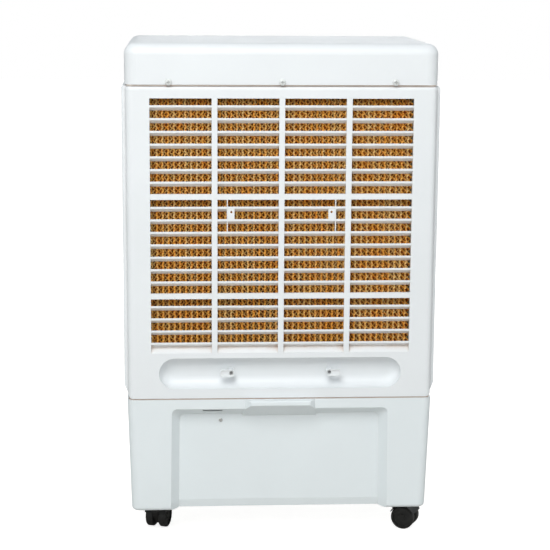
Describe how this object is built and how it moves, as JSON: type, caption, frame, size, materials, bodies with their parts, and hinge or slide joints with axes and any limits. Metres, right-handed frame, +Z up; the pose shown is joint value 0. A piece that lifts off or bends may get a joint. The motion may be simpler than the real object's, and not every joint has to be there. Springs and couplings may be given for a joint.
{
  "type": "evaporative cooler",
  "caption": "Free-standing evaporative air cooler on castors: wet pad behind a rear louver grille, fan, outlet louvers, and a water tank below.",
  "frame": {"origin": "on the floor, under the middle of the cooler", "axes": "+Z up, +Y out of the front air outlet, -Y out of the rear grille, +X to the right seen from behind"},
  "size_m": [0.636, 0.43, 1.026],
  "materials": {
    "white_plastic": "satin moulded",
    "tank_plastic": "satin moulded",
    "inner_plastic": "moulded",
    "louver_plastic": "satin moulded",
    "fascia_plastic": "satin moulded",
    "knob_plastic": "satin moulded",
    "black_plastic": "moulded",
    "castor_black": "moulded",
    "fan_plastic": "moulded",
    "float_plastic": "moulded",
    "pad_cellulose": "corrugated, resin coated",
    "motor_paint": "semi-gloss",
    "bracket_steel": "semi-gloss",
    "screw_white": "semi-gloss",
    "steel": "satin",
    "hose_rubber": "satin",
    "plug_rubber": "matte",
    "clear_window": "clear"
  },
  "bodies": {
    "cabinet": {"water_tank": "tank_plastic", "level_window": "clear_window", "tank_screw": "steel", "deck_plate": "inner_plastic", "rear_frame": "white_plastic", "rear_louvers": "white_plastic", "cord_hook_left": "white_plastic", "cord_hook_right": "white_plastic", "side_panel_left": "white_plastic", "side_panel_right": "white_plastic", "cord_gland": "black_plastic", "upper_frame": "inner_plastic", "top_cover": "white_plastic", "top_cover_screws": "screw_white", "front_panel": "white_plastic", "control_panel": "fascia_plastic", "switch_box": "inner_plastic", "swing_motor": "motor_paint", "fan_shroud": "inner_plastic", "motor": "motor_paint", "motor_bracket": "bracket_steel", "pad_frame": "inner_plastic", "cooling_pad": "pad_cellulose", "water_distributor": "inner_plastic", "pump": "black_plastic", "pump_strainer": "black_plastic", "hose": "hose_rubber", "float_valve": "inner_plastic", "castor_sockets": "black_plastic"},
    "fan": {"fan": "fan_plastic", "motor_shaft": "steel"},
    "float": {"float_arm": "inner_plastic", "float_ball": "float_plastic"},
    "fill_door": {"fill_door": "white_plastic"},
    "drain_plug": {"drain_plug": "plug_rubber"},
    "louver_link": {"louver_link": "louver_plastic"},
    "vane_link": {"vane_link": "louver_plastic"},
    "knob_speed": {"knob_speed": "knob_plastic"},
    "knob_function": {"knob_function": "knob_plastic"},
    "knob_timer": {"knob_timer": "knob_plastic"},
    "louver_1": {"louver_1": "louver_plastic"},
    "louver_2": {"louver_2": "louver_plastic"},
    "louver_3": {"louver_3": "louver_plastic"},
    "louver_4": {"louver_4": "louver_plastic"},
    "louver_5": {"louver_5": "louver_plastic"},
    "vane_1": {"vane_1": "louver_plastic"},
    "vane_2": {"vane_2": "louver_plastic"},
    "vane_3": {"vane_3": "louver_plastic"},
    "vane_4": {"vane_4": "louver_plastic"},
    "vane_5": {"vane_5": "louver_plastic"},
    "castor_rear_left_swivel": {"castor_rear_left_housing": "castor_black"},
    "castor_rear_left_wheels": {"castor_rear_left_wheels": "castor_black"},
    "castor_rear_right_swivel": {"castor_rear_right_housing": "castor_black"},
    "castor_rear_right_wheels": {"castor_rear_right_wheels": "castor_black"},
    "castor_front_left_swivel": {"castor_front_left_housing": "castor_black"},
    "castor_front_left_wheels": {"castor_front_left_wheels": "castor_black"},
    "castor_front_left_brake": {"castor_front_left_brake": "castor_black"},
    "castor_front_right_swivel": {"castor_front_right_housing": "castor_black"},
    "castor_front_right_wheels": {"castor_front_right_wheels": "castor_black"},
    "castor_front_right_brake": {"castor_front_right_brake": "castor_black"}
  },
  "joints": [
    {"name": "fan_spin", "type": "hinge", "parent": "cabinet", "child": "fan", "pos_m": [0, 0.044, 0.67], "axis": [0, 1, 0], "continuous": true},
    {"name": "float_swing", "type": "hinge", "parent": "cabinet", "child": "float", "pos_m": [0.254, 0.085, 0.255], "axis": [0, 1, 0], "range_deg": [-35, 6]},
    {"name": "fill_door_hinge", "type": "hinge", "parent": "cabinet", "child": "fill_door", "pos_m": [0, 0.195, 0.335], "axis": [-1, 0, 0], "range_deg": [0, 45]},
    {"name": "drain_plug_pull", "type": "slide", "parent": "cabinet", "child": "drain_plug", "axis": [0, 0, -1], "range_m": [0, 0.02]},
    {"name": "knob_speed_turn", "type": "hinge", "parent": "cabinet", "child": "knob_speed", "pos_m": [-0.15, 0.2, 0.906], "axis": [0, -1, 0], "range_deg": [0, 135]},
    {"name": "knob_function_turn", "type": "hinge", "parent": "cabinet", "child": "knob_function", "pos_m": [0, 0.2, 0.906], "axis": [0, -1, 0], "range_deg": [0, 90]},
    {"name": "knob_timer_turn", "type": "hinge", "parent": "cabinet", "child": "knob_timer", "pos_m": [0.15, 0.2, 0.906], "axis": [0, -1, 0], "range_deg": [0, 300]},
    {"name": "louver_1_tilt", "type": "hinge", "parent": "cabinet", "child": "louver_1", "pos_m": [0, 0.176, 0.55], "axis": [1, 0, 0], "range_deg": [-35, 35]},
    {"name": "louver_2_tilt", "type": "hinge", "parent": "cabinet", "child": "louver_2", "pos_m": [0, 0.176, 0.61], "axis": [1, 0, 0], "range_deg": [-35, 35]},
    {"name": "louver_3_tilt", "type": "hinge", "parent": "cabinet", "child": "louver_3", "pos_m": [0, 0.176, 0.67], "axis": [1, 0, 0], "range_deg": [-35, 35]},
    {"name": "louver_4_tilt", "type": "hinge", "parent": "cabinet", "child": "louver_4", "pos_m": [0, 0.176, 0.73], "axis": [1, 0, 0], "range_deg": [-35, 35]},
    {"name": "louver_5_tilt", "type": "hinge", "parent": "cabinet", "child": "louver_5", "pos_m": [0, 0.176, 0.79], "axis": [1, 0, 0], "range_deg": [-35, 35]},
    {"name": "louver_link_pin", "type": "hinge", "parent": "louver_1", "child": "louver_link", "pos_m": [0.152, 0.148, 0.55], "axis": [1, 0, 0], "range_deg": [-35, 35]},
    {"name": "vane_1_swing", "type": "hinge", "parent": "cabinet", "child": "vane_1", "pos_m": [-0.176, 0.112, 0.67], "axis": [0, 0, 1], "range_deg": [-35, 35]},
    {"name": "vane_2_swing", "type": "hinge", "parent": "cabinet", "child": "vane_2", "pos_m": [-0.088, 0.112, 0.67], "axis": [0, 0, 1], "range_deg": [-35, 35]},
    {"name": "vane_3_swing", "type": "hinge", "parent": "cabinet", "child": "vane_3", "pos_m": [0, 0.112, 0.67], "axis": [0, 0, 1], "range_deg": [-35, 35]},
    {"name": "vane_4_swing", "type": "hinge", "parent": "cabinet", "child": "vane_4", "pos_m": [0.088, 0.112, 0.67], "axis": [0, 0, 1], "range_deg": [-35, 35]},
    {"name": "vane_5_swing", "type": "hinge", "parent": "cabinet", "child": "vane_5", "pos_m": [0.176, 0.112, 0.67], "axis": [0, 0, 1], "range_deg": [-35, 35]},
    {"name": "vane_link_pin", "type": "hinge", "parent": "vane_1", "child": "vane_link", "pos_m": [-0.176, 0.085, 0.67], "axis": [0, 0, 1], "range_deg": [-35, 35]},
    {"name": "castor_rear_left_swivel_turn", "type": "hinge", "parent": "cabinet", "child": "castor_rear_left_swivel", "pos_m": [-0.257, -0.112, 0.066], "axis": [0, 0, 1], "continuous": true},
    {"name": "castor_rear_left_wheels_roll", "type": "hinge", "parent": "castor_rear_left_swivel", "child": "castor_rear_left_wheels", "pos_m": [-0.25113, -0.09393, 0.025], "axis": [-0.9511, 0.309, 0], "continuous": true},
    {"name": "castor_rear_right_swivel_turn", "type": "hinge", "parent": "cabinet", "child": "castor_rear_right_swivel", "pos_m": [0.257, -0.112, 0.066], "axis": [0, 0, 1], "continuous": true},
    {"name": "castor_rear_right_wheels_roll", "type": "hinge", "parent": "castor_rear_right_swivel", "child": "castor_rear_right_wheels", "pos_m": [0.27393, -0.12063, 0.025], "axis": [0.454, 0.891, 0], "continuous": true},
    {"name": "castor_front_left_swivel_turn", "type": "hinge", "parent": "cabinet", "child": "castor_front_left_swivel", "pos_m": [-0.257, 0.112, 0.066], "axis": [0, 0, 1], "continuous": true},
    {"name": "castor_front_left_wheels_roll", "type": "hinge", "parent": "castor_front_left_swivel", "child": "castor_front_left_wheels", "pos_m": [-0.2603, 0.13071, 0.025], "axis": [-0.9848, -0.1736, 0], "continuous": true},
    {"name": "castor_front_left_brake_press", "type": "hinge", "parent": "castor_front_left_swivel", "child": "castor_front_left_brake", "pos_m": [-0.2636, 0.14942, 0.051], "axis": [-0.9848, -0.1736, 0], "range_deg": [0, 15]},
    {"name": "castor_front_right_swivel_turn", "type": "hinge", "parent": "cabinet", "child": "castor_front_right_swivel", "pos_m": [0.257, 0.112, 0.066], "axis": [0, 0, 1], "continuous": true},
    {"name": "castor_front_right_wheels_roll", "type": "hinge", "parent": "castor_front_right_swivel", "child": "castor_front_right_wheels", "pos_m": [0.26287, 0.13007, 0.025], "axis": [-0.9511, 0.309, 0], "continuous": true},
    {"name": "castor_front_right_brake_press", "type": "hinge", "parent": "castor_front_right_swivel", "child": "castor_front_right_brake", "pos_m": [0.26874, 0.14814, 0.051], "axis": [-0.9511, 0.309, 0], "range_deg": [0, 15]}
  ],
  "couplings": [
    {"joint": "louver_2_tilt", "follows": "louver_1_tilt", "ratio": 1},
    {"joint": "louver_3_tilt", "follows": "louver_1_tilt", "ratio": 1},
    {"joint": "louver_4_tilt", "follows": "louver_1_tilt", "ratio": 1},
    {"joint": "louver_5_tilt", "follows": "louver_1_tilt", "ratio": 1},
    {"joint": "louver_link_pin", "follows": "louver_1_tilt", "ratio": -1},
    {"joint": "vane_2_swing", "follows": "vane_1_swing", "ratio": 1},
    {"joint": "vane_3_swing", "follows": "vane_1_swing", "ratio": 1},
    {"joint": "vane_4_swing", "follows": "vane_1_swing", "ratio": 1},
    {"joint": "vane_5_swing", "follows": "vane_1_swing", "ratio": 1},
    {"joint": "vane_link_pin", "follows": "vane_1_swing", "ratio": -1}
  ]
}
